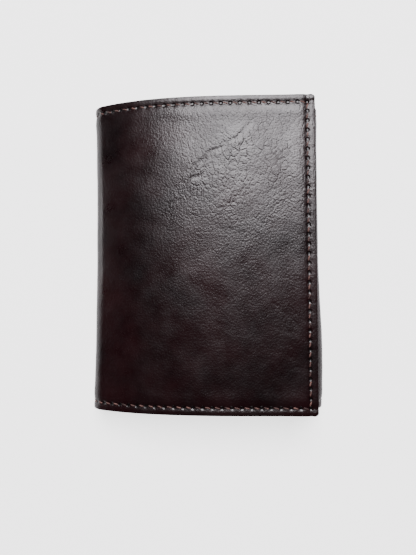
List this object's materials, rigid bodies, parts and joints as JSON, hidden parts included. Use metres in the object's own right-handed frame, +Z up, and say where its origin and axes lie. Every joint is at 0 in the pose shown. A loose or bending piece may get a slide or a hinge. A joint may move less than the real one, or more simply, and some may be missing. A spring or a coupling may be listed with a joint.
{
  "type": "trifold wallet",
  "caption": "Trifold leather wallet, closed, with two folding flaps, card pockets, an identity window and a full-length bill pocket.",
  "frame": {"origin": "middle of the closed wallet's footprint, on the surface it lies on", "axes": "+X towards the inner fold, +Y along the folds towards the bill pocket's mouth, +Z up through the closed stack"},
  "size_m": [0.083, 0.11, 0.02],
  "materials": {
    "outer_leather": "soft pebbled leather, satin",
    "inner_leather": "smooth skived leather",
    "lining": "plain woven lining cloth",
    "thread": "twisted thread",
    "film": "clear film"
  },
  "bodies": {
    "back_panel": {"back_shell": "outer_leather", "back_lining": "lining", "back_divider": "inner_leather", "back_card_pocket_high": "inner_leather", "back_card_pocket_middle": "inner_leather", "back_card_pocket_low": "inner_leather", "back_stitching": "thread"},
    "wide_fold": {"wide_fold_shell": "outer_leather", "wide_fold_lining": "lining", "wide_fold_divider": "inner_leather"},
    "front_flap": {"front_shell": "outer_leather", "front_lining": "lining", "front_divider": "inner_leather", "front_card_pocket_high": "inner_leather", "front_card_pocket_middle": "inner_leather", "front_card_pocket_low": "inner_leather", "front_stitching": "thread"},
    "narrow_fold": {"narrow_fold_shell": "outer_leather", "narrow_fold_lining": "lining", "narrow_fold_divider": "inner_leather"},
    "inner_flap": {"inner_shell": "outer_leather", "inner_lining": "lining", "inner_divider": "inner_leather", "id_slip_pocket": "inner_leather", "id_window_film": "film", "id_window_frame": "inner_leather", "inner_stitching": "thread"}
  },
  "joints": [
    {"name": "front_flap_lower_crease", "type": "hinge", "parent": "back_panel", "child": "wide_fold", "pos_m": [-0.03954, 0, 0.00196], "axis": [0, -1, 0], "range_deg": [0, 86]},
    {"name": "front_flap_upper_crease", "type": "hinge", "parent": "wide_fold", "child": "front_flap", "pos_m": [-0.03954, 0, 0.01142], "axis": [0, -1, 0], "range_deg": [0, 86]},
    {"name": "inner_flap_lower_crease", "type": "hinge", "parent": "back_panel", "child": "narrow_fold", "pos_m": [0.03974, 0, 0.00176], "axis": [0, 1, 0], "range_deg": [0, 25.81]},
    {"name": "inner_flap_upper_crease", "type": "hinge", "parent": "narrow_fold", "child": "inner_flap", "pos_m": [0.03974, 0, 0.01024], "axis": [0, 1, 0], "range_deg": [0, 25.81]}
  ],
  "couplings": [
    {"joint": "front_flap_upper_crease", "follows": "front_flap_lower_crease", "ratio": 1},
    {"joint": "inner_flap_lower_crease", "follows": "front_flap_lower_crease", "ratio": 0.3},
    {"joint": "inner_flap_upper_crease", "follows": "front_flap_lower_crease", "ratio": 0.3}
  ]
}
